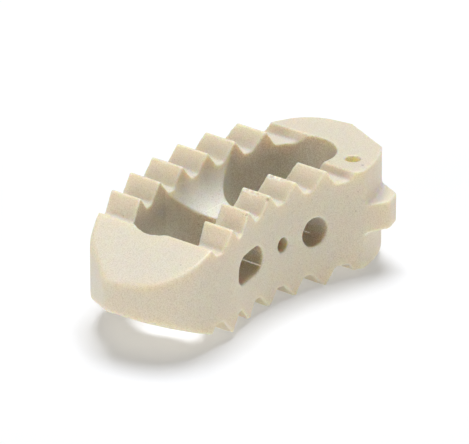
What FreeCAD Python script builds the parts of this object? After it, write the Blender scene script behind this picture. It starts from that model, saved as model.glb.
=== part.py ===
import FreeCAD, Part
import os

import Sketcher

# Spinal interbody cage: one curved PEEK block with toothed rails, two graft windows and a tapered nose.
# The long axis is X with the nose at -X, the hollow side faces -Y and the lowest tooth tips stand on Z = 0.

# Driving dimensions, in millimetres and degrees.
SIZES = [
    ("overall_length", 25.63, "nose tip to rear corner"),
    ("body_width", 10.0, "between the crowns of the outer and inner side walls"),
    ("block_height", 7.0, "height of the plain rear block"),
    ("tooth_tip_height", 8.08, "height over the highest tooth tips"),
    ("crown_x", 0.935, "crown of the outer wall along the length"),
    ("crown_y", 6.145, "crown of the outer wall across the width"),
    ("outer_wall_radius", 23.5, "bulging side wall"),
    ("inner_wall_radius", 15.8, "hollow side wall"),
    ("inner_crown_shift", 0.4, "crown of the hollow wall, from that of the outer wall towards the nose"),
    ("nose_flank_length", 2.665, "straight flank of the nose on the bulging side, along the length"),
    ("nose_tip_y", -0.19, "foremost corner of the nose"),
    ("nose_front_rake", 0.95, "how far the front face falls back across its width"),
    ("nose_near_y", -5.275, "nose side wall on the hollow side"),
    ("nose_near_length", 7.25, "nose side wall, from the nose tip along the length"),
    ("nose_flank_radius", 3.6, "outer wall to nose flank"),
    ("nose_tip_radius", 1.0, "nose flank to front face"),
    ("nose_near_radius", 3.8, "front face to nose side wall"),
    ("nose_blend_radius", 4.0, "nose side wall to hollow wall"),
    ("nose_edge_height", 2.0, "front face between the two tapers, at the nose tip"),
    ("nose_taper_angle", 21.8, "each taper, from the mid plane"),
    ("end_face_angle", 23.9, "rear end face, turned about Z towards the hollow side"),
    ("end_corner_y", 0.145, "far corner of the rear end face"),
    ("end_bevel_length", 0.53, "flat between the outer wall and the end face, along the length"),
    ("end_round_radius", 3.5, "outer wall to that flat"),
    ("tab_corner_y", -5.695, "near corner of the rear end face, on the tab"),
    ("tab_bevel_x", 8.83, "where the hollow wall meets the bevel of the tab"),
    ("tab_corner_radius", 0.6, "corners of the tab"),
    ("tab_thickness", 2.0, "tab left at mid height on the hollow side"),
    ("tab_wall_radius", 8.0, "curved wall above and below the tab"),
    ("tab_wall_x", 6.22, "centre of that curve along the length"),
    ("tab_wall_y", 2.605, "centre of that curve across the width"),
    ("tab_wall_sweep", 53.13, "where that curve ends, turned from the hollow side towards the rear"),
    ("end_face_width", 3.7, "rear end face above the tab, across the width"),
    ("crest_dome_radius", 120.0, "arc through the tooth tips, seen from the side"),
    ("crest_dome_x", 4.6, "top of that arc along the length"),
    ("tooth_pitch", 2.57, "along the length"),
    ("tooth_depth", 1.05, "tip to valley floor"),
    ("tooth_front_angle", 43.5, "flank that faces the nose"),
    ("tooth_rear_angle", 55.5, "flank that faces the rear"),
    ("tooth_tip_radius", 0.13, "round along each tip"),
    ("tooth_root_radius", 0.22, "corners of the valley floor"),
    ("first_valley_x", -7.02, "middle of the first valley along the length"),
    ("near_step_x", 6.25, "foot of the step up to the plain rear block, on the hollow side"),
    ("far_step_x", 9.15, "foot of the step up to the plain rear block, on the bulging side"),
    ("window_path_radius", 23.5, "middle line of the graft windows"),
    ("window_path_y", 0.985, "crown of that line across the width"),
    ("window_width", 5.1, "graft windows, wall to wall"),
    ("front_window_start_x", -5.665, "centre of the round end by the nose"),
    ("front_window_end_x", -3.015, "centre of the round end by the strut"),
    ("front_window_corner_x", -7.615, "squared corner beside the nose"),
    ("front_window_corner_radius", 0.6, "that corner"),
    ("rear_window_start_x", 4.235, "centre of the round end by the strut"),
    ("rear_window_end_x", 7.135, "centre of the rear round end"),
    ("trough_width", 5.0, "trough over the strut, just inside the window walls"),
    ("strut_thickness", 2.0, "strut between the windows, at its thinnest"),
    ("side_hole_diameter", 2.0, "holes through the hollow side wall"),
    ("side_hole_x", 3.635, "round side hole"),
    ("side_slot_x", -3.14, "middle of the long side hole"),
    ("side_slot_length", 3.45, "long side hole, end to end"),
    ("marker_bore_diameter", 1.0, "bores for the X-ray marker pins"),
    ("strut_bore_x", 0.735, "bore into the strut"),
    ("strut_bore_depth", 6.0, "from the hollow wall"),
    ("block_bore_x", 8.285, "bore in the top of the rear block"),
    ("block_bore_y", -3.535, "bore in the top of the rear block"),
    ("block_bore_depth", 5.0, "from the block top"),
    ("inserter_bore_diameter", 2.5, "tapped bore for the inserter, in the rear end face"),
    ("clear_margin", 12.0, "how far a cutting outline runs past the body"),
    ("cut_lead", 1.0, "how far a cut starts before the face that it enters"),
]


def make_sheet(doc):
    """Write the driving dimensions into the sheet, one row each."""
    sheet = doc.addObject("Spreadsheet::Sheet", "sizes")
    for row, (alias, number, note) in enumerate(SIZES, start=1):
        sheet.set("A%d" % row, alias)
        sheet.set("B%d" % row, str(number))
        sheet.set("C%d" % row, note)
        sheet.setAlias("B%d" % row, alias)
    doc.recompute()
    return sheet


def number(body, text):
    """Value of a formula on the sheet."""
    result = body.evalExpression(text)
    return float(getattr(result, "Value", result))


def origin_plane(body, role):
    """One of the body's own base planes."""
    return [item for item in body.Origin.OriginFeatures if item.Role == role][0]


def new_sketch(body, name, role, offsets=(), turn=None):
    """Sketch on a base plane, moved and turned in the plane's own frame.
    offsets are (axis, formula) and turn is (axis, formula)."""
    sketch = body.newObject("Sketcher::SketchObject", name)
    sketch.AttachmentSupport = (origin_plane(body, role), [""])
    sketch.MapMode = "FlatFace"
    if turn:
        axis, formula = turn
        turned = FreeCAD.Rotation(FreeCAD.Vector(*axis), number(body, formula))
        sketch.AttachmentOffset = FreeCAD.Placement(FreeCAD.Vector(), turned)
        sketch.setExpression("AttachmentOffset.Rotation.Angle", "(%s) * 1 deg" % formula)
    for axis, formula in offsets:
        sketch.setExpression("AttachmentOffset.Base." + axis, formula)
    return sketch


def bind(sketch, constraint, formula):
    """Add a dimension to a sketch and tie it to a formula on the sheet."""
    index = sketch.addConstraint(constraint)
    sketch.setExpression("Constraints[%d]" % index, formula)


def pin_point(body, sketch, geometry, position, x_text, y_text, pinned="xy"):
    """Place a point by its distance from the sketch origin, along each axis that pinned names."""
    for axis, kind, text in (("x", "DistanceX", x_text), ("y", "DistanceY", y_text)):
        if axis in pinned:
            bind(sketch, Sketcher.Constraint(kind, -1, 1, geometry, position, number(body, text)), text)


def draw_circle(body, sketch, x_text, y_text, radius_text):
    """Full circle with a tied centre and radius."""
    centre = FreeCAD.Vector(number(body, x_text), number(body, y_text), 0)
    radius = number(body, radius_text)
    index = sketch.addGeometry(Part.Circle(centre, FreeCAD.Vector(0, 0, 1), radius))
    pin_point(body, sketch, index, 3, x_text, y_text)
    bind(sketch, Sketcher.Constraint("Radius", index, radius), radius_text)


def arc_between(start, end, centre, radius, clockwise):
    """Arc of a circle from start to end; a clockwise one is stored the other way round."""
    circle = Part.Circle(centre, FreeCAD.Vector(0, 0, 1), radius)
    first, last = (end, start) if clockwise else (start, end)
    return Part.ArcOfCircle(circle, circle.parameter(first), circle.parameter(last))


def on_circle(x_text, centre_x, centre_y, radius, side):
    """Formula for Y on a circle at a given X; side is + or -."""
    return "%s %s sqrt((%s)^2 - (%s - (%s))^2)" % (centre_y, side, radius, x_text, centre_x)


def arc_side(x_text, y_text, radius_text, clockwise, pinned="xyr"):
    """Arc side of an outline; pinned says which of centre x, centre y and radius are tied."""
    return x_text, y_text, radius_text, clockwise, pinned


def draw_outline(body, sketch, corners, sides):
    """Closed outline. A corner is (x, y, pinned), where pinned holds x, y, both or t for a smooth join.
    A side is None for a line or an arc_side, and runs from its corner to the next."""
    points = [FreeCAD.Vector(number(body, x), number(body, y), 0) for x, y, pinned in corners]
    ends = []
    for index, side in enumerate(sides):
        start = points[index]
        end = points[(index + 1) % len(points)]
        if side is None:
            geometry = sketch.addGeometry(Part.LineSegment(start, end))
            ends.append((geometry, 1, 2))
            continue
        x_text, y_text, radius_text, clockwise, pinned = side
        centre = FreeCAD.Vector(number(body, x_text), number(body, y_text), 0)
        radius = number(body, radius_text)
        geometry = sketch.addGeometry(arc_between(start, end, centre, radius, clockwise))
        ends.append((geometry, 2, 1) if clockwise else (geometry, 1, 2))
        pin_point(body, sketch, geometry, 3, x_text, y_text, pinned)
        if "r" in pinned:
            bind(sketch, Sketcher.Constraint("Radius", geometry, radius), radius_text)
    for index, (geometry, first, last) in enumerate(ends):
        before, before_first, before_last = ends[index - 1]
        x_text, y_text, pinned = corners[index]
        join = "Tangent" if "t" in pinned else "Coincident"
        sketch.addConstraint(Sketcher.Constraint(join, before, before_last, geometry, first))
        pin_point(body, sketch, geometry, first, x_text, y_text, pinned)
    return points


def cut(body, sketch, name, length=None, both_ways=False, reverse=False):
    """Pocket along the sketch normal: one way, the other way (reverse) or both. Length None cuts through."""
    doc = body.Document
    doc.recompute()
    before = body.Shape.Volume
    pocket = body.newObject("PartDesign::Pocket", name)
    pocket.Profile = sketch
    pocket.Refine = True
    if length is None:
        pocket.Type = "ThroughAll"
    else:
        pocket.setExpression("Length", length)
    pocket.Midplane = both_ways
    pocket.Reversed = reverse
    doc.recompute()
    if not body.Shape.Volume < before - 1e-6:
        raise RuntimeError("%s cuts nothing" % name)
    return pocket


def round_corner(body, name, point, radius_text):
    """Round the upright edge of the body that stands over a corner of the outline."""
    body.Document.recompute()
    base = body.Tip
    shape = base.Shape
    found = None
    for index, edge in enumerate(shape.Edges, start=1):
        low, high = edge.Vertexes[0].Point, edge.Vertexes[-1].Point
        upright = abs(low.x - high.x) < 1e-4 and abs(low.y - high.y) < 1e-4 and abs(low.z - high.z) > 1e-3
        if upright and abs(low.x - point.x) < 1e-3 and abs(low.y - point.y) < 1e-3:
            found = "Edge%d" % index
    if found is None:
        raise RuntimeError("no upright edge for %s" % name)
    fillet = body.newObject("PartDesign::Fillet", name)
    fillet.Base = (base, [found])
    fillet.setExpression("Radius", radius_text)
    body.Tip = fillet


# Formulas that several features share.
OUTER_X = "sizes.crown_x"
OUTER_Y = "sizes.crown_y - sizes.outer_wall_radius"
OUTER_R = "sizes.outer_wall_radius"
INNER_X = "sizes.crown_x - sizes.inner_crown_shift"
INNER_CROWN_Y = "sizes.crown_y - sizes.body_width"
INNER_Y = "sizes.crown_y - sizes.body_width - sizes.inner_wall_radius"
INNER_R = "sizes.inner_wall_radius"
NOSE_X = "-sizes.overall_length / 2"
END_X = "sizes.overall_length / 2"
PATH_X = "sizes.crown_x"
PATH_Y = "sizes.window_path_y - sizes.window_path_radius"
MID_Z = "sizes.tooth_tip_height / 2"
DOME_Z = "sizes.tooth_tip_height / 2 - sizes.crest_dome_radius"
PAST = "sizes.clear_margin"

# Height of the sharp corner of a tooth above its rounded tip.
TIP_HALF_ANGLE = "(sizes.tooth_front_angle + sizes.tooth_rear_angle) / 2 * 1 deg"
TIP_RISE = "sizes.tooth_tip_radius * (1 / cos(%s) - 1)" % TIP_HALF_ANGLE

# Valleys that run right across both rails, counted from the nose.
SHARED_VALLEYS = 5


def make_block(body):
    """Upper half of the banana-shaped block, with stock above the teeth, and its rounded corners."""
    flank_x = NOSE_X + " + sizes.nose_flank_length"
    blend_x = NOSE_X + " + sizes.nose_near_length"
    bevel_x = END_X + " - sizes.end_bevel_length"
    tab_x = END_X + " - (sizes.end_corner_y - sizes.tab_corner_y) * tan(sizes.end_face_angle * 1 deg)"
    corners = [
        (flank_x, on_circle(flank_x, OUTER_X, OUTER_Y, OUTER_R, "+"), "x"),
        (bevel_x, on_circle(bevel_x, OUTER_X, OUTER_Y, OUTER_R, "+"), "x"),
        (END_X, "sizes.end_corner_y", "xy"),
        (tab_x, "sizes.tab_corner_y", "xy"),
        ("sizes.tab_bevel_x", on_circle("sizes.tab_bevel_x", INNER_X, INNER_Y, INNER_R, "+"), "x"),
        (blend_x, on_circle(blend_x, INNER_X, INNER_Y, INNER_R, "+"), "x"),
        (NOSE_X + " + sizes.nose_front_rake", "sizes.nose_near_y", "xy"),
        (NOSE_X, "sizes.nose_tip_y", "xy"),
    ]
    sides = [None] * 8
    sides[0] = arc_side(OUTER_X, OUTER_Y, OUTER_R, True)
    sides[4] = arc_side(INNER_X, INNER_Y, INNER_R, False)
    sketch = new_sketch(body, "block_outline", "XY_Plane")
    points = draw_outline(body, sketch, corners, sides)
    pad = body.newObject("PartDesign::Pad", "block")
    pad.Profile = sketch
    pad.setExpression("Length", MID_Z + " + sizes.tooth_depth")
    roundings = [
        ("nose_flank_round", 0, "sizes.nose_flank_radius"),
        ("end_round", 1, "sizes.end_round_radius"),
        ("tab_round_rear", 3, "sizes.tab_corner_radius"),
        ("tab_round_side", 4, "sizes.tab_corner_radius"),
        ("nose_blend_round", 5, "sizes.nose_blend_radius"),
        ("nose_near_round", 6, "sizes.nose_near_radius"),
        ("nose_tip_round", 7, "sizes.nose_tip_radius"),
    ]
    for name, corner, radius_text in roundings:
        round_corner(body, name, points[corner], radius_text)


def cut_rear_block_top(body):
    """Level the rear block, which starts sooner on the hollow side than on the bulging side.
    The outline starts over the last valleys, so that their end walls stay whole."""
    sketch = new_sketch(body, "block_top_outline", "XY_Plane", [("z", "sizes.block_height / 2")])
    past = END_X + " + " + PAST
    near_start = "sizes.near_step_x - sizes.tooth_root_radius"
    far_start = "sizes.far_step_x - sizes.tooth_root_radius"
    corners = [
        (near_start, "-" + PAST, "xy"),
        (past, "-" + PAST, "xy"),
        (past, PAST, "xy"),
        (far_start, PAST, "xy"),
        (far_start, "0", "xy"),
        (near_start, "0", "xy"),
    ]
    draw_outline(body, sketch, corners, [None] * 6)
    cut(body, sketch, "block_top", reverse=True)


def cut_nose_taper(body):
    """Slope the nose down to its front face."""
    sketch = new_sketch(body, "taper_outline", "XZ_Plane")
    slope = "tan(sizes.nose_taper_angle * 1 deg)"
    low_x = NOSE_X + " - sizes.cut_lead"
    high_x = NOSE_X + " + sizes.tooth_tip_height"
    corners = [
        (low_x, "sizes.nose_edge_height / 2 - sizes.cut_lead * " + slope, "xy"),
        (high_x, "sizes.nose_edge_height / 2 + sizes.tooth_tip_height * " + slope, "xy"),
        (high_x, MID_Z + " + " + PAST, "xy"),
        (low_x, MID_Z + " + " + PAST, "xy"),
    ]
    draw_outline(body, sketch, corners, [None] * 4)
    cut(body, sketch, "nose_taper", both_ways=True)


def valley_sketch(body, name, valley, wall_x=None):
    """Outline of one valley, square to the crest arc. valley counts from the nose.
    With wall_x the valley ends in the step there instead of the next tooth."""
    middle = "(sizes.first_valley_x + %d * sizes.tooth_pitch)" % valley
    turn = "(sizes.crest_dome_x - %s) / sizes.crest_dome_radius * 180 / pi" % middle
    sketch = new_sketch(
        body, name, "XZ_Plane", [("x", "sizes.crest_dome_x"), ("y", DOME_Z)], ((0, 0, 1), turn))
    floor = "sizes.crest_dome_radius - sizes.tooth_depth"
    height = "(%s + sizes.tooth_depth)" % TIP_RISE
    left_angle, right_angle = "sizes.tooth_rear_angle", "sizes.tooth_front_angle"
    left_foot = "-sizes.tooth_pitch / 2 + %s / tan(%s * 1 deg)" % (height, left_angle)
    right_foot = "sizes.tooth_pitch / 2 - %s / tan(%s * 1 deg)" % (height, right_angle)
    if wall_x:
        right_foot = "(%s) - %s" % (wall_x, middle)
        right_angle = left_angle
    left_points, left_arc = valley_side(left_foot, floor, left_angle, "-")
    right_points, right_arc = valley_side(right_foot, floor, right_angle, "+")
    corners = left_points + right_points[::-1]
    draw_outline(body, sketch, corners, [None, left_arc, None, right_arc, None, None])
    return sketch


def valley_side(foot, floor, angle, side):
    """One flank of a valley, from its top down to the floor: its three points and its root arc.
    side is - for the left flank and + for the right one."""
    back = "+" if side == "-" else "-"
    radius = "sizes.tooth_root_radius"
    reach = "%s * tan(%s / 2 * 1 deg)" % (radius, angle)
    top = ("%s %s %s / tan(%s * 1 deg)" % (foot, side, PAST, angle), "%s + %s" % (floor, PAST), "xy")
    high = ("%s %s %s * cos(%s * 1 deg)" % (foot, side, reach, angle),
            "%s + %s * sin(%s * 1 deg)" % (floor, reach, angle), "t")
    low_x = "%s %s %s" % (foot, back, reach)
    root = arc_side(low_x, "%s + %s" % (floor, radius), radius, False)
    return [top, high, (low_x, floor, "t")], root


def cut_valleys(body):
    """Saw the valleys: a row right across both rails, one more on the far rail, and the last of each rail."""
    first = cut(body, valley_sketch(body, "valley_outline", 0), "valley", both_ways=True)
    row = body.newObject("PartDesign::PolarPattern", "valley_row")
    row.Originals = [first]
    row.Axis = (first.Profile[0], ["N_Axis"])
    row.Reversed = True
    row.Occurrences = SHARED_VALLEYS
    step = "sizes.tooth_pitch / sizes.crest_dome_radius * 180 / pi"
    row.setExpression("Angle", "%d * %s" % (SHARED_VALLEYS - 1, step))
    body.Tip = row
    body.Document.recompute()
    far = SHARED_VALLEYS
    cut(body, valley_sketch(body, "far_valley_outline", far), "far_valley")
    cut(body, valley_sketch(body, "far_last_valley_outline", far + 1, "sizes.far_step_x"), "far_last_valley")
    near_last = valley_sketch(body, "near_last_valley_outline", far, "sizes.near_step_x")
    cut(body, near_last, "near_last_valley", reverse=True)


def round_tips(body):
    """Round the tooth tips, which run across the rails just above the crest arc."""
    body.Document.recompute()
    base = body.Tip
    centre_x, centre_z = number(body, "sizes.crest_dome_x"), number(body, DOME_Z)
    distance = number(body, "sizes.crest_dome_radius + " + TIP_RISE)
    found = []
    for index, edge in enumerate(base.Shape.Edges, start=1):
        start, end = edge.Vertexes[0].Point, edge.Vertexes[-1].Point
        across = abs(start.x - end.x) < 1e-4 and abs(start.z - end.z) < 1e-4 and abs(start.y - end.y) > 1e-3
        away = ((start.x - centre_x) ** 2 + (start.z - centre_z) ** 2) ** 0.5 - distance
        if across and abs(away) < 0.02:
            found.append("Edge%d" % index)
    if not found:
        raise RuntimeError("no tooth tips to round")
    fillet = body.newObject("PartDesign::Fillet", "tooth_tips")
    fillet.Base = (base, found)
    fillet.setExpression("Radius", "sizes.tooth_tip_radius")
    body.Tip = fillet
    body.Document.recompute()


def path_y(x_text, radius="sizes.window_path_radius"):
    """Y of the windows' middle line, or of a wall beside it, at a given X."""
    return on_circle(x_text, PATH_X, PATH_Y, radius, "+")


def beside_path(x_text, radius):
    """X of the point of another wall that lies square across from a point of the middle line."""
    return "%s + ((%s) - %s) * (%s) / sizes.window_path_radius" % (PATH_X, x_text, PATH_X, radius)


def cut_window(body, name, start, end, corner=None):
    """One graft window: a curved slot with round ends along the middle line.
    corner is the X of a squared corner at its start, on the hollow side."""
    far = "sizes.window_path_radius + sizes.window_width / 2"
    near = "sizes.window_path_radius - sizes.window_width / 2"
    end_radius = "sizes.window_width / 2"
    far_start, far_end = beside_path(start, far), beside_path(end, far)
    near_start, near_end = beside_path(start, near), beside_path(end, near)
    corners = [
        (far_start, path_y(far_start, far), "t"),
        (far_end, path_y(far_end, far), "t"),
        (near_end, path_y(near_end, near), "t"),
    ]
    sides = [
        arc_side(PATH_X, PATH_Y, far, True),
        arc_side(end, path_y(end), end_radius, True, "x"),
        arc_side(PATH_X, PATH_Y, near, False),
    ]
    if corner:
        corners.append((corner, path_y(corner, near), "x"))
        corners.append((corner, on_circle(corner, start, path_y(start), end_radius, "-"), "x"))
        sides.append(None)
        sides.append(arc_side(start, path_y(start), end_radius, True, "xr"))
    else:
        corners.append((near_start, path_y(near_start, near), "t"))
        sides.append(arc_side(start, path_y(start), end_radius, True, "x"))
    sketch = new_sketch(body, name + "_outline", "XY_Plane")
    points = draw_outline(body, sketch, corners, sides)
    cut(body, sketch, name, both_ways=True)
    if corner:
        round_corner(body, name + "_corner_round", points[3], "sizes.front_window_corner_radius")


def hollow_strut(body):
    """Trough along the top of the strut, cut round the same centre as the windows.
    It runs on a little way into both of them."""
    sketch = new_sketch(
        body, "strut_trough_outline", "YZ_Plane", [("x", PATH_Y), ("z", PATH_X)])
    far = "sizes.window_path_radius + sizes.trough_width / 2"
    near = "sizes.window_path_radius - sizes.trough_width / 2"
    spring = "sizes.strut_thickness / 2 + sizes.trough_width / 2"
    top = MID_Z + " + " + PAST
    corners = [(near, spring, "xy"), (far, spring, "y"), (far, top, "xy"), (near, top, "xy")]
    bottom = arc_side("sizes.window_path_radius", spring, "sizes.trough_width / 2", False, "yr")
    draw_outline(body, sketch, corners, [bottom, None, None, None])
    groove = body.newObject("PartDesign::Groove", "strut_trough")
    groove.Profile = sketch
    groove.ReferenceAxis = (sketch, ["V_Axis"])
    groove.Midplane = True
    length = "(sizes.rear_window_start_x - sizes.front_window_end_x + sizes.cut_lead)"
    groove.setExpression("Angle", length + " / sizes.window_path_radius * 180 / pi")
    body.Tip = groove
    body.Document.recompute()


def cut_tab(body):
    """Curved wall that leaves a flat tab at mid height, on the hollow side of the rear end."""
    sketch = new_sketch(body, "tab_wall_outline", "XY_Plane", [("z", "sizes.tab_thickness / 2")])
    centre_x, centre_y, radius = "sizes.tab_wall_x", "sizes.tab_wall_y", "sizes.tab_wall_radius"
    start = centre_x + " - sizes.cut_lead"
    end = "%s + %s * sin(sizes.tab_wall_sweep * 1 deg)" % (centre_x, radius)
    end_y = "%s - %s * cos(sizes.tab_wall_sweep * 1 deg)" % (centre_y, radius)
    past = END_X + " + " + PAST
    outside = "-" + PAST
    corners = [
        (start, on_circle(start, centre_x, centre_y, radius, "-"), "x"),
        (end, end_y, "x"),
        (past, end_y, "xy"),
        (past, outside, "xy"),
        (start, outside, "xy"),
    ]
    draw_outline(body, sketch, corners, [arc_side(centre_x, centre_y, radius, False), None, None, None, None])
    cut(body, sketch, "tab_wall", reverse=True)


def cut_side_holes(body):
    """Round hole and long hole through the hollow side wall, into the windows."""
    radius = "sizes.side_hole_diameter / 2"
    sketch = new_sketch(body, "side_hole_outline", "XZ_Plane")
    draw_circle(body, sketch, "sizes.side_hole_x", "0", radius)
    cut(body, sketch, "side_hole", reverse=True)
    reach = "(sizes.side_slot_length - sizes.side_hole_diameter) / 2"
    left = "sizes.side_slot_x - " + reach
    right = "sizes.side_slot_x + " + reach
    low = "-" + radius
    corners = [(left, low, "t"), (right, low, "t"), (right, radius, "t"), (left, radius, "t")]
    right_end = arc_side(right, "0", radius, False)
    left_end = arc_side(left, "0", radius, False)
    sketch = new_sketch(body, "side_slot_outline", "XZ_Plane")
    draw_outline(body, sketch, corners, [None, right_end, None, left_end])
    cut(body, sketch, "side_slot", reverse=True)


def cut_bores(body):
    """Bore for the marker pin in the strut, and the tapped bore from the rear end face to the rear window."""
    marker = "sizes.marker_bore_diameter / 2"
    outside = "-(%s - sizes.cut_lead)" % INNER_CROWN_Y
    sketch = new_sketch(body, "strut_bore_outline", "XZ_Plane", [("z", outside)])
    draw_circle(body, sketch, "sizes.strut_bore_x", "0", marker)
    cut(body, sketch, "strut_bore", "sizes.strut_bore_depth + sizes.cut_lead")
    centre_y = "(sizes.end_corner_y - sizes.end_face_width / 2)"
    centre_x = END_X + " - sizes.end_face_width / 2 * tan(sizes.end_face_angle * 1 deg)"
    sketch = new_sketch(
        body, "inserter_bore_outline", "YZ_Plane",
        [("x", centre_y), ("z", centre_x)], ((0, -1, 0), "sizes.end_face_angle"))
    draw_circle(body, sketch, "0", "0", "sizes.inserter_bore_diameter / 2")
    cut(body, sketch, "inserter_bore", END_X + " - sizes.rear_window_end_x")


def mirror_halves(body):
    """The lower half is the upper half mirrored in the mid plane."""
    mirror = body.newObject("PartDesign::Mirrored", "both_halves")
    mirror.TransformMode = "Whole shape"
    mirror.MirrorPlane = (origin_plane(body, "XY_Plane"), [""])
    mirror.Refine = True
    body.Tip = mirror
    body.Document.recompute()


def cut_block_bore(body):
    """Marker bore in the top of the rear block."""
    sketch = new_sketch(body, "block_bore_outline", "XY_Plane", [("z", "sizes.block_height / 2")])
    draw_circle(body, sketch, "sizes.block_bore_x", "sizes.block_bore_y", "sizes.marker_bore_diameter / 2")
    cut(body, sketch, "block_bore", "sizes.block_bore_depth")


def make_cage(doc):
    """The whole cage, worked out as an upper half about the mid plane and then mirrored."""
    body = doc.addObject("PartDesign::Body", "cage_body")
    body.Label = "cage_body"
    make_block(body)
    cut_nose_taper(body)
    cut_valleys(body)
    cut_rear_block_top(body)
    cut_window(body, "front_window", "sizes.front_window_start_x", "sizes.front_window_end_x",
               "sizes.front_window_corner_x")
    cut_window(body, "rear_window", "sizes.rear_window_start_x", "sizes.rear_window_end_x")
    round_tips(body)
    hollow_strut(body)
    cut_tab(body)
    cut_side_holes(body)
    cut_bores(body)
    mirror_halves(body)
    cut_block_bore(body)
    body.setExpression("Placement.Base.z", MID_Z)
    doc.recompute()
    return body


def write_parts(doc, pieces):
    """Check every object and write each piece as a STEP file."""
    for item in doc.Objects:
        if "Invalid" in item.State or "Error" in item.State:
            raise RuntimeError("%s failed: %s" % (item.Name, item.State))
    os.makedirs("parts", exist_ok=True)
    for piece in pieces:
        shape = piece.Shape
        if shape.isNull() or not shape.isValid() or len(shape.Solids) != 1:
            raise RuntimeError("%s is not one sound solid" % piece.Label)
        shape.exportStep("parts/%s.step" % piece.Label)
        box = shape.BoundBox
        print("%s volume %.3f box %.3f %.3f %.3f to %.3f %.3f %.3f" % (
            piece.Label, shape.Volume, box.XMin, box.YMin, box.ZMin, box.XMax, box.YMax, box.ZMax))


def main():
    """Build the document and write the parts."""
    doc = FreeCAD.newDocument("interbody_cage")
    make_sheet(doc)
    pieces = [make_cage(doc)]
    write_parts(doc, pieces)


main()
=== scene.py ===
"""Looks of a curved spinal interbody cage in natural PEEK, on a pale studio floor."""
import logging
import math
from dataclasses import dataclass, field
from enum import Enum
from typing import Any, Union

import bmesh
import bpy
import numpy
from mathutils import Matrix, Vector


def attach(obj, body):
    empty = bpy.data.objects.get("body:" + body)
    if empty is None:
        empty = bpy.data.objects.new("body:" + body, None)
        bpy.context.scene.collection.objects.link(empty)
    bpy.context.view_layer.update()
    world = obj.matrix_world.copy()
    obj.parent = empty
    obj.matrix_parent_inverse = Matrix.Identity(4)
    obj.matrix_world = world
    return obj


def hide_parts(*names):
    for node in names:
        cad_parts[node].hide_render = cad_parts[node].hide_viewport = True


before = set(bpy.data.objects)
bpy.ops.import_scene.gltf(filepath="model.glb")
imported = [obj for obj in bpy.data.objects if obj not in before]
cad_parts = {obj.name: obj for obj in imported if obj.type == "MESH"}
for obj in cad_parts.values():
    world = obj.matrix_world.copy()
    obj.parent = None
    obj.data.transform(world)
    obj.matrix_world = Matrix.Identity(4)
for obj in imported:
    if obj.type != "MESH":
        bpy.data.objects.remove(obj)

logging.basicConfig(level=logging.INFO, format="%(message)s")
log = logging.getLogger("cage")

MM = 0.001
BLACK = (0.0, 0.0, 0.0, 1.0)
WHITE = (1.0, 1.0, 1.0, 1.0)

# Middle of the noise values.
NOISE_MIDDLE = 0.5

# Centre of the arc that the windows and the trough follow, in millimetres.
PATH_CENTRE = (0.935, -22.515)


class Tone(Enum):
    """Linear colours of the natural polymer, of the painted light and shade on it and in it, and of the
    studio.
    """

    BODY = (0.750, 0.688, 0.550)
    # PALE serves paler worn edges that are partly painted highlight, painted highlights in the valleys and
    # on the trough floors, and paler grain.
    PALE = (0.850, 0.818, 0.730)
    WARM = (0.745, 0.660, 0.495)
    # GLOW is a painted warm glow near convex edges, put into the colour.
    GLOW = (0.800, 0.665, 0.410)
    # SHADE serves painted shade on the inner walls of the windows and side holes, and darker grain.
    SHADE = (0.545, 0.485, 0.365)
    # Emission colour of the painted glints along the cutter lines.
    WITNESS_GLINT = (0.460, 0.450, 0.430)
    # Emission colour of the painted glow in the rear bore.
    PAINTED_BORE_GLOW = (0.150, 0.148, 0.060)
    SPECK = (0.260, 0.200, 0.100)
    FLOOR = (0.690, 0.690, 0.690)
    FLOOR_TOOTH = (0.850, 0.850, 0.850)
    LIGHT = (0.965, 0.985, 1.035)
    FILL = (1.000, 0.975, 0.920)

    @property
    def rgba(self) -> tuple:
        """The colour with full alpha."""
        return (*self.value, 1.0)


class Mark(Enum):
    """Names of the values, 0 to 1, that the skin keeps on its vertices."""

    # Paler edges: partly wear, partly painted highlight.
    EDGE_WEAR_AND_HIGHLIGHT = "edge_line"
    # Painted warm glow near convex edges.
    EDGE_GLOW = "edge_glow"
    # Painted highlight in the valleys and on the trough floors.
    VALLEY_HIGHLIGHT = "valley"
    BLEMISH = "blemish"
    # Painted shade and stronger grain on the inner walls.
    INNER_SHADE_AND_GRAIN = "inner"
    # Painted glow in the rear bore.
    BORE_GLOW = "bore"


class Wire:
    """An output socket that can be used in arithmetic."""

    def __init__(self, graph: "Graph", socket: bpy.types.NodeSocket) -> None:
        """Wrap a socket.

        Args:
            graph: The node graph that the socket belongs to.
            socket: The output socket.
        """
        self.graph = graph
        self.socket = socket

    def _maths(self, operation: str, first: Any, second: Any, clamp: bool = False) -> "Wire":
        """One Math node on two values.

        Args:
            operation: The Math node's operation.
            first: A number or a Wire.
            second: A number or a Wire.
            clamp: Keep the result between 0 and 1.

        Returns:
            The node's result.
        """
        settings = {"operation": operation, "use_clamp": clamp}
        return self.graph.node("ShaderNodeMath", settings, {0: first, 1: second})

    def __add__(self, other: Any) -> "Wire":
        """Sum."""
        return self._maths("ADD", self, other)

    __radd__ = __add__

    def __sub__(self, other: Any) -> "Wire":
        """Difference."""
        return self._maths("SUBTRACT", self, other)

    def __rsub__(self, other: Any) -> "Wire":
        """Difference from a number."""
        return self._maths("SUBTRACT", other, self)

    def __mul__(self, other: Any) -> "Wire":
        """Product."""
        return self._maths("MULTIPLY", self, other)

    def __truediv__(self, other: Any) -> "Wire":
        """Quotient."""
        return self._maths("DIVIDE", self, other)

    def __pow__(self, other: Any) -> "Wire":
        """Power."""
        return self._maths("POWER", self, other)

    def size(self) -> "Wire":
        """The value without its sign."""
        return self._maths("ABSOLUTE", self, 0.0)

    def clamped(self) -> "Wire":
        """The value kept between 0 and 1."""
        return self._maths("ADD", self, 0.0, clamp=True)


def span(first: Wire, second: Wire) -> Wire:
    """Distance that two offsets at right angles make."""
    return (first ** 2.0 + second ** 2.0) ** 0.5


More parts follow.
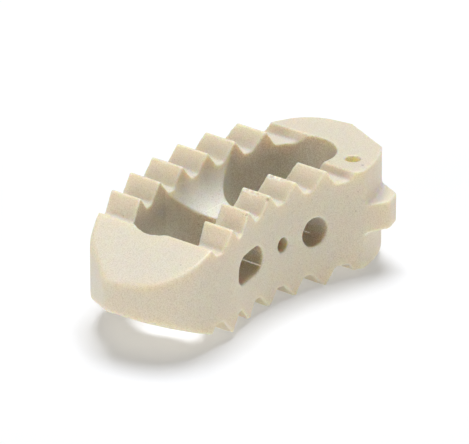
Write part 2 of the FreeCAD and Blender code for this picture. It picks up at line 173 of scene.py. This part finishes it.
class Graph:
    """Node graph of one material."""

    def __init__(self, name: str) -> None:
        """Start an empty material.

        Args:
            name: Name of the material.
        """
        self.material = bpy.data.materials.new(name)
        self.material.use_nodes = True
        self.tree = self.material.node_tree
        self.tree.nodes.clear()

    def node(self, kind: str, settings: dict, inputs: dict, output: Union[int, str] = 0) -> Wire:
        """Add any node.

        Args:
            kind: The node's type.
            settings: Its properties, set before its sockets.
            inputs: Socket names or numbers to numbers, tuples or Wires.
            output: Name or number of the socket to give back.

        Returns:
            The chosen output.
        """
        made = self.tree.nodes.new(kind)
        for key, value in settings.items():
            setattr(made, key, value)
        for key, value in inputs.items():
            if isinstance(value, Wire):
                self.tree.links.new(value.socket, made.inputs[key])
            else:
                made.inputs[key].default_value = value
        return Wire(self, made.outputs[output])

    def place(self) -> Wire:
        """Place on the piece, in metres."""
        return self.node("ShaderNodeTexCoord", {}, {}, "Object")

    def mark(self, mark: Mark) -> Wire:
        """A value that the piece keeps on its vertices."""
        settings = {"attribute_type": "GEOMETRY", "attribute_name": mark.value}
        return self.node("ShaderNodeAttribute", settings, {}, "Fac")

    def noise(self, place: Wire, scale: float, detail: float, roughness: float) -> Wire:
        """Noise over the piece.

        Args:
            place: Coordinates in metres.
            scale: Waves per metre.
            detail: Octaves.
            roughness: How strong the finer octaves are.

        Returns:
            The noise value, about 0 to 1.
        """
        inputs = {"Vector": place, "Scale": scale, "Detail": detail, "Roughness": roughness}
        return self.node("ShaderNodeTexNoise", {"noise_dimensions": "3D"}, inputs)

    def blend(self, mask: Any, first: Any, second: Any) -> Wire:
        """Mix two colours.

        Args:
            mask: How much of the second colour, 0 to 1.
            first: Colour or Wire.
            second: Colour or Wire.

        Returns:
            The mixed colour.
        """
        settings = {"data_type": "RGBA", "blend_type": "MIX"}
        return self.node("ShaderNodeMix", settings, {0: mask, 6: first, 7: second}, 2)

    def finish(self, surface: Wire) -> bpy.types.Material:
        """Connect the surface and give the material back."""
        made = self.tree.nodes.new("ShaderNodeOutputMaterial")
        self.tree.links.new(surface.socket, made.inputs["Surface"])
        return self.material


@dataclass(frozen=True)
class HoleGlint:
    """A painted glint: a glowing line along the wall of one side hole, in millimetres."""

    x: float
    start: float
    end: float


@dataclass(frozen=True)
class CutterGlints:
    """Painted glints: fine glowing lines along the marks that the cutter left in the side holes and the
    trough, in millimetres.

    A fade is how fast a line comes in at its end, in shares for each millimetre.
    """

    in_holes: tuple = (HoleGlint(-1.63, -6.0, -1.5), HoleGlint(4.43, -3.15, -2.0))
    hole_level: float = 3.42
    start_fade: float = 6.0
    end_fade: float = 20.0
    half_width: float = 0.045
    trough_radius: float = 24.31
    trough_level: float = 5.17
    level_reach: float = 0.30
    level_fade: float = 10.0
    along_reach: float = 1.6
    along_fade: float = 2.0
    trough_share: float = 0.25

    def show(self, graph: Graph, place: Wire) -> Wire:
        """Draw the painted glints.

        Args:
            graph: The material's graph.
            place: Coordinates in metres.

        Returns:
            How much of the painted glint shows, 0 to 1.
        """
        axes = range(3)
        x, y, z = [graph.node("ShaderNodeSeparateXYZ", {}, {0: place}, axis) / MM for axis in axes]
        found = 0.0
        for line in self.in_holes:
            across = span(x - line.x, z - self.hole_level)
            before_end = ((line.end - y) * self.end_fade).clamped()
            after_start = ((y - line.start) * self.start_fade).clamped()
            found = self._thin(across) * (before_end * after_start) + found
        from_centre = x - PATH_CENTRE[0]
        radius = span(from_centre, y - PATH_CENTRE[1])
        off_level = (z - self.trough_level).size()
        level = ((self.level_reach - off_level) * self.level_fade).clamped()
        along = ((self.along_reach - from_centre.size()) * self.along_fade).clamped()
        trough = self._thin((radius - self.trough_radius).size())
        return (found + trough * level * along * self.trough_share).clamped()

    def _thin(self, away: Wire) -> Wire:
        """A line that fades out over its half width.

        Args:
            away: Distance from the middle of the line, in millimetres.

        Returns:
            How much of the line shows, 0 to 1.
        """
        return (1.0 - away * (1.0 / self.half_width)).clamped()


@dataclass(frozen=True)
class Specks:
    """A few small dark specks in the polymer."""

    scale: float = 1500.0
    reach: float = 0.10
    sharpness: float = 22.0
    patch_scale: float = 0.31
    patch_from: float = 0.60
    patch_sharpness: float = 12.0
    patch_roughness: float = 0.55
    share: float = 0.55

    def show(self, graph: Graph, place: Wire) -> Wire:
        """Draw the specks, in patches.

        Args:
            graph: The material's graph.
            place: Coordinates in metres.

        Returns:
            How much of the speck colour shows, 0 to 1.
        """
        settings = {"feature": "F1", "voronoi_dimensions": "3D"}
        inputs = {"Vector": place, "Scale": self.scale}
        near = graph.node("ShaderNodeTexVoronoi", settings, inputs, "Distance")
        patch = graph.noise(place, self.scale * self.patch_scale, 1.0, self.patch_roughness)
        speck = ((self.reach - near) * self.sharpness).clamped()
        patches = ((patch - self.patch_from) * self.patch_sharpness).clamped()
        return speck * patches * self.share


@dataclass(frozen=True)
class PolymerFinish:
    """Natural PEEK as it leaves the mill.

    It is matte, with a fine grain and light passing a little way in. Its colour also holds paler worn
    edges that are partly painted highlight, painted highlights in the valleys and on the trough floors,
    painted shade on the inner walls and a painted warm glow near convex edges, and it glows with painted
    glints and a painted glow in the rear bore. Scales are waves per metre, and shares say how much of a
    tone is mixed in.
    """

    name: str = "natural_peek"
    cloud_scale: float = 240.0
    cloud_detail: float = 2.0
    cloud_from: float = 0.40
    cloud_gain: float = 2.5
    cloud_share: float = 0.30
    mottle_scale: float = 2400.0
    grain_scale: float = 13500.0
    fine_detail: float = 3.0
    noise_roughness: float = 0.55
    # Shares of the painted edge glow, of paler edges that are partly painted highlight, of the painted
    # valley and trough highlight and of the painted shade on the inner walls.
    glow_share: float = 0.22
    edge_wear_and_highlight_share: float = 0.30
    valley_highlight_share: float = 0.85
    inner_shade_share: float = 0.45
    grain_drift: float = 5.4
    mottle_drift: float = 0.5
    inner_drift: float = 1.6
    dark_share: float = 0.62
    pale_share: float = 0.55
    blemish_gain: float = 1.3
    roughness: float = 0.50
    roughness_drift: float = 0.15
    edge_polish: float = 0.12
    refraction: float = 1.5
    grain_height: float = 0.020 * MM
    grain_strength: float = 0.6
    mottle_height: float = 0.5
    scatter_weight: float = 1.0
    scatter_depth: float = 1.20 * MM
    scatter_reach: tuple = (1.0, 0.62, 0.24)
    cutter_glints: CutterGlints = CutterGlints()
    specks: Specks = Specks()

    def make(self) -> bpy.types.Material:
        """Build the material.

        Returns:
            The finished material.
        """
        graph = Graph(self.name)
        place = graph.place()
        mottle = graph.noise(place, self.mottle_scale, self.fine_detail, self.noise_roughness)
        grain = graph.noise(place, self.grain_scale, self.fine_detail, self.noise_roughness)
        line = graph.mark(Mark.EDGE_WEAR_AND_HIGHLIGHT).clamped()
        shader = graph.node("ShaderNodeBsdfPrincipled", {"subsurface_method": "RANDOM_WALK"}, {
            "Base Color": self._colour(graph, place, mottle, grain, line),
            "Roughness": self._roughness(mottle, line),
            "IOR": self.refraction,
            "Subsurface Weight": self.scatter_weight,
            "Subsurface Radius": self.scatter_reach,
            "Subsurface Scale": self.scatter_depth,
            "Normal": self._bump(graph, mottle, grain),
            # Painted glints along the cutter lines and a painted glow in the rear bore, given as emission.
            "Emission Color": self._light(graph, place),
            "Emission Strength": 1.0,
        })
        return graph.finish(shader)

    def _colour(self, graph: Graph, place: Wire, mottle: Wire, grain: Wire, line: Wire) -> Wire:
        """Colour of the polymer, from the widest change to the smallest.

        Args:
            graph: The material's graph.
            place: Coordinates in metres.
            mottle: Coarse noise.
            grain: Fine noise.
            line: How sharp the edge is.

        Returns:
            The colour.
        """
        cloud = graph.noise(place, self.cloud_scale, self.cloud_detail, self.noise_roughness)
        warmth = ((cloud - self.cloud_from) * self.cloud_gain).clamped()
        inner = graph.mark(Mark.INNER_SHADE_AND_GRAIN)
        drift = (grain - NOISE_MIDDLE) * self.grain_drift + (mottle - NOISE_MIDDLE) * self.mottle_drift
        drift = drift * (1.0 + inner * self.inner_drift)
        stain = graph.mark(Mark.BLEMISH) * self.blemish_gain + self.specks.show(graph, place)
        colour = Tone.BODY.rgba
        for share, tone in (
                (warmth * self.cloud_share, Tone.WARM),
                # Painted warm glow near convex edges.
                (graph.mark(Mark.EDGE_GLOW).clamped() * self.glow_share, Tone.GLOW),
                # Paler edges: partly worn, partly painted highlight on crests and rims.
                (line * self.edge_wear_and_highlight_share, Tone.PALE),
                # Painted highlight in the valleys and on the trough floors.
                (graph.mark(Mark.VALLEY_HIGHLIGHT).clamped() * self.valley_highlight_share, Tone.PALE),
                # Painted shade on the inner walls of the windows and side holes.
                (inner * self.inner_shade_share, Tone.SHADE),
                ((drift * -1.0).clamped() * self.dark_share, Tone.SHADE),
                (drift.clamped() * self.pale_share, Tone.PALE),
                (stain.clamped(), Tone.SPECK)):
            colour = graph.blend(share, colour, tone.rgba)
        return colour

    def _roughness(self, mottle: Wire, line: Wire) -> Wire:
        """Roughness, a little less on worn edges.

        Args:
            mottle: Coarse noise.
            line: How sharp the edge is.

        Returns:
            The roughness.
        """
        drift = (mottle - NOISE_MIDDLE) * self.roughness_drift
        return self.roughness + drift - line * self.edge_polish

    def _bump(self, graph: Graph, mottle: Wire, grain: Wire) -> Wire:
        """Fine relief of the milled surface.

        Args:
            graph: The material's graph.
            mottle: Coarse noise.
            grain: Fine noise.

        Returns:
            The bumped normal.
        """
        return graph.node("ShaderNodeBump", {}, {
            "Strength": self.grain_strength,
            "Distance": self.grain_height,
            "Height": grain + mottle * self.mottle_height,
        })

    def _light(self, graph: Graph, place: Wire) -> Wire:
        """Painted light given as emission: glowing lines that stand in for glints along the cutter lines,
        and a painted glow in the bore of the rear block that stands in for light let in through the
        polymer.

        Args:
            graph: The material's graph.
            place: Coordinates in metres.

        Returns:
            The colour of that painted light.
        """
        painted_glint = graph.blend(self.cutter_glints.show(graph, place), BLACK, Tone.WITNESS_GLINT.rgba)
        return graph.blend(graph.mark(Mark.BORE_GLOW), painted_glint, Tone.PAINTED_BORE_GLOW.rgba)


@dataclass(frozen=True)
class FloorFinish:
    """Plain pale studio floor with a hint of paper tooth, lifted so that its shadow stays soft."""

    name: str = "studio_floor"
    roughness: float = 0.9
    gloss: float = 0.2
    lift: float = 0.28
    tooth_scale: float = 60.0
    tooth_detail: float = 2.0
    tooth_roughness: float = 0.5
    tooth_share: float = 0.04

    def make(self) -> bpy.types.Material:
        """Build the material.

        Returns:
            The finished material.
        """
        graph = Graph(self.name)
        tooth = graph.noise(graph.place(), self.tooth_scale, self.tooth_detail, self.tooth_roughness)
        colour = graph.blend(tooth * self.tooth_share, Tone.FLOOR.rgba, Tone.FLOOR_TOOTH.rgba)
        shader = graph.node("ShaderNodeBsdfPrincipled", {}, {
            "Base Color": colour,
            "Roughness": self.roughness,
            "Specular IOR Level": self.gloss,
            "Emission Color": WHITE,
            "Emission Strength": self.lift,
        })
        return graph.finish(shader)


class Relief:
    """The vertices of a skin as arrays, with what lies around each of them."""

    def __init__(self, skin: bpy.types.Mesh) -> None:
        """Read a skin.

        Args:
            skin: The skin, in millimetres.
        """
        self.count = len(skin.vertices)
        self.places = self._vectors(skin, "co")
        self.normals = self._vectors(skin, "normal")
        ends = numpy.empty(len(skin.edges) * 2, dtype=numpy.int64)
        skin.edges.foreach_get("vertices", ends)
        self.first, self.second = ends.reshape(-1, 2).T
        self.sides = numpy.bincount(ends, minlength=self.count)

    def _vectors(self, skin: bpy.types.Mesh, name: str) -> numpy.ndarray:
        """Read one vector of each vertex.

        Args:
            skin: The skin.
            name: Name of the vector.

        Returns:
            A row of x, y and z for each vertex.
        """
        values = numpy.empty(self.count * 3)
        skin.vertices.foreach_get(name, values)
        return values.reshape(-1, 3)

    def _mean(self, to_first: numpy.ndarray, to_second: numpy.ndarray) -> numpy.ndarray:
        """Mean at each vertex of what its edges bring.

        Args:
            to_first: What each edge brings to its first end.
            to_second: What it brings to its second end.

        Returns:
            A value for each vertex.
        """
        at_first = numpy.bincount(self.first, to_first, self.count)
        return (at_first + numpy.bincount(self.second, to_second, self.count)) / self.sides

    def around(self, values: numpy.ndarray) -> numpy.ndarray:
        """Mean of each vertex's neighbours."""
        return self._mean(values[self.second], values[self.first])

    def evened(self, values: numpy.ndarray, passes: int) -> numpy.ndarray:
        """Spread values over their neighbours.

        Args:
            values: A value for each vertex.
            passes: How many times each value meets its neighbours halfway.

        Returns:
            The evened values.
        """
        for _ in range(passes):
            values = 0.5 * values + 0.5 * self.around(values)
        return values

    def bend(self) -> numpy.ndarray:
        """How far each vertex stands out from its neighbours, over its squared edge length."""
        columns = [self.around(self.places[:, axis]) for axis in range(3)]
        offset = numpy.stack(columns, axis=1) - self.places
        squares = ((self.places[self.first] - self.places[self.second]) ** 2).sum(1)
        return -(offset * self.normals).sum(1) / self._mean(squares, squares)


@dataclass(frozen=True)
class Scale:
    """How a measured value becomes a share: what counts as 0, and how much more counts as 1."""

    start: float
    width: float

    def share(self, values: numpy.ndarray) -> numpy.ndarray:
        """The values as shares, not yet kept between 0 and 1."""
        return (values - self.start) / self.width


@dataclass(frozen=True)
class Blemish:
    """A nick or a dark spot on the surface, in millimetres."""

    place: tuple
    reach: float
    depth: float
    stain: float


@dataclass
class CageBody:
    """The one-piece cage, with every milled edge broken and the nose worn rounder.

    Sizes and places are in millimetres, apart from weld, which is in metres.
    """

    node: str = "cage_body"
    name: str = "cage_skin"
    slot: str = "cage_body"
    weld: float = 2e-6
    cell: float = 0.08
    edge_passes: int = 9
    edge_pull: float = 0.5
    nose_passes: int = 34
    nose_pull: float = 0.5
    nose_from: float = -8.5
    nose_fade: float = 1.6
    nick_gain: float = 1.6
    kept_share: float = 0.30
    bend_gain: float = 4.0
    bend_most: float = 6.0
    # Spread and scale of the paler edges (partly painted highlight), the painted edge glow and the painted
    # valley highlight.
    line_passes: int = 2
    glow_passes: int = 26
    valley_highlight_passes: int = 8
    line_scale: Scale = Scale(1.2, 3.5)
    glow_scale: Scale = Scale(0.25, 1.6)
    valley_highlight_scale: Scale = Scale(0.35, 1.4)
    stain_reach: float = 1.2
    path_radius: float = 23.5
    strut_from: float = -2.7
    strut_to: float = 4.0
    strut_level: float = 5.0
    # Where the painted trough highlight lies and how strong it is.
    trough_half: float = 2.45
    trough_flat_gain: float = 1.1
    trough_least: float = 0.15
    trough_share: float = 0.8
    # Where the painted shade on the inner walls lies.
    window_half: float = 2.72
    windows_from: float = -8.4
    windows_to: float = 9.9
    wall_slope: float = 0.35
    hole_level: float = 4.04
    hole_half: float = 1.08
    hole_spans: tuple = ((-4.95, -1.33), (2.55, 4.72))
    holes_until: float = -1.0
    # Where the painted glow in the rear bore lies.
    bore_centre: tuple = (8.285, -3.535)
    bore_reach: float = 0.60
    bore_floor: float = 2.3
    bore_mouth: float = 7.45
    bore_fade: float = 8.0
    blemishes: tuple = (
        Blemish((1.87, -1.95, 8.00), 0.22, 0.075, 0.35),
        Blemish((1.90, -2.38, 8.03), 0.17, 0.055, 0.25),
        Blemish((1.88, -2.75, 8.03), 0.20, 0.070, 0.30),
        Blemish((-0.70, -1.95, 7.94), 0.20, 0.065, 0.35),
        Blemish((-0.72, -2.42, 7.90), 0.16, 0.050, 0.30),
        Blemish((-0.73, -2.88, 7.89), 0.20, 0.060, 0.30),
        Blemish((-0.83, -3.86, 7.80), 0.16, 0.030, 0.70),
        Blemish((-3.37, -4.20, 7.68), 0.13, 0.030, 0.55),
        Blemish((7.85, -4.69, 7.54), 0.10, 0.015, 0.80),
    )
    finish: PolymerFinish = field(default_factory=PolymerFinish)

    def build(self) -> bpy.types.Object:
        """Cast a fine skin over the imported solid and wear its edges.

        Returns:
            The cage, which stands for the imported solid.
        """
        cast = self._recast(self._welded())
        self._soften_nose(cast)
        self._nick(cast)
        skin = self._thinned(cast)
        self._mark(skin)
        self._to_metres(skin)
        piece = bpy.data.objects.new(self.name, skin)
        bpy.context.scene.collection.objects.link(piece)
        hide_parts(self.node)
        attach(piece, "root")
        return piece

    def _welded(self) -> bpy.types.Mesh:
        """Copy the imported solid, close its seams and scale it to millimetres.

        Returns:
            The copy, in millimetres.
        """
        copy = bmesh.new()
        copy.from_mesh(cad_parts[self.node].data)
        bmesh.ops.remove_doubles(copy, verts=copy.verts, dist=self.weld)
        bmesh.ops.scale(copy, vec=(1.0 / MM,) * 3, verts=copy.verts)
        mesh = bpy.data.meshes.new("welded_copy")
        copy.to_mesh(mesh)
        copy.free()
        return mesh

    def _through(self, mesh: bpy.types.Mesh, modifiers: list) -> bpy.types.Mesh:
        """Run a mesh through a stack of modifiers.

        Args:
            mesh: The mesh to change.
            modifiers: Kind of each modifier and its settings.

        Returns:
            The changed mesh.
        """
        blank = bpy.data.objects.new("blank", mesh)
        bpy.context.scene.collection.objects.link(blank)
        for kind, settings in modifiers:
            modifier = blank.modifiers.new(kind.lower(), kind)
            for key, value in settings.items():
                setattr(modifier, key, value)
        graph = bpy.context.evaluated_depsgraph_get()
        changed = bpy.data.meshes.new_from_object(blank.evaluated_get(graph))
        bpy.data.objects.remove(blank)
        return changed

    def _recast(self, welded: bpy.types.Mesh) -> bpy.types.Mesh:
        """Recast the copy in fine cells and relax its edges.

        Args:
            welded: The closed copy, in millimetres.

        Returns:
            The fine skin, in millimetres.
        """
        return self._through(welded, [
            ("REMESH", {"mode": "VOXEL", "voxel_size": self.cell}),
            ("SMOOTH", {"factor": self.edge_pull, "iterations": self.edge_passes}),
        ])

    def _soften_nose(self, cast: bpy.types.Mesh) -> None:
        """Relax the nose further, fading out towards the first tooth.

        Args:
            cast: The fine skin, in millimetres.
        """
        skin = bmesh.new()
        skin.from_mesh(cast)
        for turn in range(self.nose_passes):
            limit = self.nose_from - self.nose_fade * turn / self.nose_passes
            nose = [vert for vert in skin.verts if vert.co.x < limit]
            bmesh.ops.smooth_vert(
                skin, verts=nose, factor=self.nose_pull, use_axis_x=True, use_axis_y=True, use_axis_z=True)
        skin.to_mesh(cast)
        skin.free()

    def _nick(self, cast: bpy.types.Mesh) -> None:
        """Press the small nicks into the fine skin.

        Args:
            cast: The fine skin, in millimetres.
        """
        skin = bmesh.new()
        skin.from_mesh(cast)
        for blemish in self.blemishes:
            centre = Vector(blemish.place)
            near = [vert for vert in skin.verts if (vert.co - centre).length < blemish.reach]
            for vert in near:
                share = 1.0 - ((vert.co - centre).length / blemish.reach) ** 2
                vert.co -= vert.normal * blemish.depth * share * self.nick_gain
        skin.to_mesh(cast)
        skin.free()

    def _thinned(self, cast: bpy.types.Mesh) -> bpy.types.Mesh:
        """Thin out the flats of the fine skin.

        Args:
            cast: The fine skin, in millimetres.

        Returns:
            The skin, in millimetres.
        """
        skin = self._through(cast, [("DECIMATE", {"ratio": self.kept_share})])
        skin.name = self.name
        return skin

    def _mark(self, skin: bpy.types.Mesh) -> None:
        """Keep on each vertex what the finish has to know about its place.

        Args:
            skin: The skin, in millimetres.
        """
        relief = Relief(skin)
        bend = relief.bend() * self.bend_gain
        out = numpy.clip(bend, 0.0, self.bend_most)
        dent = numpy.clip(-bend, 0.0, self.bend_most)
        valley = self.valley_highlight_scale.share(relief.evened(dent, self.valley_highlight_passes))
        # Marks: paler edges that are partly painted highlight, painted edge glow, painted valley and
        # trough highlight, real stains, painted inner-wall shade with stronger grain, and the painted bore
        # glow.
        marks = {
            Mark.EDGE_WEAR_AND_HIGHLIGHT: self.line_scale.share(relief.evened(bend, self.line_passes)),
            Mark.EDGE_GLOW: self.glow_scale.share(relief.evened(out, self.glow_passes)),
            Mark.VALLEY_HIGHLIGHT: numpy.maximum(valley, self._trough_highlight(relief)),
            Mark.BLEMISH: self._stained(relief),
            Mark.INNER_SHADE_AND_GRAIN: self._on_inner_walls(relief),
            Mark.BORE_GLOW: self._in_block_bore(relief),
        }
        for mark, values in marks.items():
            kept = skin.attributes.new(mark.value, "FLOAT", "POINT")
            kept.data.foreach_set("value", numpy.clip(values, 0.0, 1.0))

    def _from_path(self, relief: Relief) -> numpy.ndarray:
        """How far each vertex lies from the curved middle line of the windows."""
        along, across = (relief.places[:, :2] - numpy.array(PATH_CENTRE)).T
        return numpy.abs(numpy.hypot(along, across) - self.path_radius)

    def _trough_highlight(self, relief: Relief) -> numpy.ndarray:
        """Painted highlight on the troughs over and under the strut: how much each vertex gets, more where
        it faces up or down.

        Args:
            relief: The skin's vertices.

        Returns:
            Shares, 0 to 1.
        """
        x = relief.places[:, 0]
        beside = self._from_path(relief) < self.trough_half
        over_strut = (x > self.strut_from) & (x < self.strut_to)
        flat = numpy.abs(relief.normals[:, 2]) * self.trough_flat_gain + self.trough_least
        share = numpy.clip(flat, 0.0, 1.0) * self.trough_share
        return numpy.where(beside & over_strut, share, 0.0)

    def _stained(self, relief: Relief) -> numpy.ndarray:
        """How much each vertex is stained by the nicks and spots.

        Args:
            relief: The skin's vertices.

        Returns:
            Shares, 0 to 1.
        """
        stain = numpy.zeros(relief.count)
        for blemish in self.blemishes:
            away = numpy.linalg.norm(relief.places - numpy.array(blemish.place), axis=1)
            near = numpy.clip(self.stain_reach - away / blemish.reach, 0.0, 1.0)
            stain = numpy.maximum(stain, blemish.stain * near)
        return stain

    def _on_inner_walls(self, relief: Relief) -> numpy.ndarray:
        """Which vertices lie on the walls of the windows and the side holes, which get painted shade and a
        stronger grain.

        Args:
            relief: The skin's vertices.

        Returns:
            1 on those walls and 0 elsewhere.
        """
        x, y, z = relief.places.T
        steep = numpy.abs(relief.normals[:, 2]) < self.wall_slope
        beside = self._from_path(relief) < self.window_half
        inside = beside & (x > self.windows_from) & (x < self.windows_to)
        over_strut = (x > self.strut_from) & (x < self.strut_to) & (z > self.strut_level)
        windows = inside & steep & ~over_strut
        level = numpy.abs(z - self.hole_level) < self.hole_half
        crosswise = numpy.abs(relief.normals[:, 1]) < self.wall_slope
        within = numpy.zeros(relief.count, dtype=bool)
        for start, end in self.hole_spans:
            within |= (x > start) & (x < end)
        holes = level & (y < self.holes_until) & crosswise & within
        return numpy.where(windows | holes, 1.0, 0.0)

    def _in_block_bore(self, relief: Relief) -> numpy.ndarray:
        """How much painted glow each vertex of the marker bore in the rear block gets, standing in for
        light let in through the polymer.

        Args:
            relief: The skin's vertices.

        Returns:
            Shares, 0 to 1, that fade out at the mouth of the bore.
        """
        x, y, z = relief.places.T
        lining = numpy.hypot(x - self.bore_centre[0], y - self.bore_centre[1]) < self.bore_reach
        below_mouth = numpy.clip((self.bore_mouth - z) * self.bore_fade, 0.0, 1.0)
        return numpy.where(lining & (z > self.bore_floor), below_mouth, 0.0)

    def _to_metres(self, skin: bpy.types.Mesh) -> None:
        """Bring the skin back to metres and shade it smooth.

        Args:
            skin: The skin, in millimetres.
        """
        worn = bmesh.new()
        worn.from_mesh(skin)
        bmesh.ops.scale(worn, vec=(MM,) * 3, verts=worn.verts)
        for face in worn.faces:
            face.smooth = True
        worn.to_mesh(skin)
        worn.free()

    def dress(self, piece: bpy.types.Object) -> None:
        """Give the cage its finish.

        Args:
            piece: The cage.
        """
        piece.data.materials.clear()
        piece.data.materials.append(self.finish.make())


@dataclass(frozen=True)
class Lamp:
    """A square soft light: its place and side in metres, its power in watts and its colour."""

    name: str
    place: tuple
    side: float
    power: float
    tone: Tone

    def hang(self, aim: Vector) -> None:
        """Hang the light.

        Args:
            aim: The point it faces.
        """
        light = bpy.data.lights.new(self.name, "AREA")
        light.shape = "SQUARE"
        light.size = self.side
        light.energy = self.power
        light.color = self.tone.value
        holder = bpy.data.objects.new(self.name, light)
        holder.location = self.place
        facing = aim - Vector(self.place)
        holder.rotation_euler = facing.to_track_quat("-Z", "Y").to_euler()
        bpy.context.scene.collection.objects.link(holder)


@dataclass
class Studio:
    """Floor, lights and camera. Lengths are in metres, angles in degrees."""

    floor_name: str = "studio_floor"
    floor_half: float = 2.0
    floor_finish: FloorFinish = field(default_factory=FloorFinish)
    lamps: tuple = (
        Lamp("overhead", (0.12, 0.08, 0.53), 0.32, 3.3, Tone.LIGHT),
        Lamp("left_fill", (-0.50, 0.03, 0.10), 0.20, 0.86, Tone.FILL),
        Lamp("front_fill", (0.05, -0.50, 0.06), 0.20, 0.74, Tone.FILL),
    )
    lamp_aim: tuple = (0.0, 0.0, 4.0 * MM)
    room_strength: float = 0.03
    view_target: tuple = (1.565 * MM, 0.917 * MM, 4.04 * MM)
    view_azimuth: float = -50.285
    view_elevation: float = 23.907
    view_distance: float = 479.39 * MM
    lens: float = 565.3
    sensor: float = 36.0
    view_nearest: float = 0.01
    view_farthest: float = 10.0

    def build_floor(self) -> bpy.types.Object:
        """Lay the floor under the lowest tooth tips.

        Returns:
            The floor.
        """
        mesh = bpy.data.meshes.new(self.floor_name)
        plan = bmesh.new()
        bmesh.ops.create_grid(plan, x_segments=1, y_segments=1, size=self.floor_half)
        plan.to_mesh(mesh)
        plan.free()
        floor = bpy.data.objects.new(self.floor_name, mesh)
        bpy.context.scene.collection.objects.link(floor)
        mesh.materials.append(self.floor_finish.make())
        return floor

    def hang_lights(self) -> None:
        """Soft light from above and two low fills, in a dim white room."""
        world = bpy.data.worlds.new("pale_room")
        world.use_nodes = True
        background = world.node_tree.nodes["Background"]
        background.inputs["Color"].default_value = WHITE
        background.inputs["Strength"].default_value = self.room_strength
        bpy.context.scene.world = world
        for lamp in self.lamps:
            lamp.hang(Vector(self.lamp_aim))
        bpy.context.scene.view_settings.view_transform = "Standard"

    def place_camera(self) -> None:
        """Set the camera at the photo's viewing angle."""
        azimuth = math.radians(self.view_azimuth)
        elevation = math.radians(self.view_elevation)
        back = Vector((
            math.sin(azimuth) * math.cos(elevation),
            -math.cos(azimuth) * math.cos(elevation),
            math.sin(elevation)))
        lens = bpy.data.cameras.new("camera")
        lens.sensor_fit = "HORIZONTAL"
        lens.sensor_width = self.sensor
        lens.lens = self.lens
        lens.clip_start = self.view_nearest
        lens.clip_end = self.view_farthest
        camera = bpy.data.objects.new("camera", lens)
        camera.location = Vector(self.view_target) + back * self.view_distance
        camera.rotation_euler = (-back).to_track_quat("-Z", "Y").to_euler()
        bpy.context.scene.collection.objects.link(camera)
        bpy.context.scene.camera = camera


def main() -> None:
    """Build the cage, dress it and set the studio round it."""
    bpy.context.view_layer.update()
    cage = CageBody()
    piece = cage.build()
    cage.dress(piece)
    log.info("dressed %s: %d faces", piece.name, len(piece.data.polygons))
    studio = Studio()
    floor = studio.build_floor()
    log.info("laid %s: %d faces", floor.name, len(floor.data.polygons))
    studio.hang_lights()
    studio.place_camera()


if __name__ == "__main__":
    main()
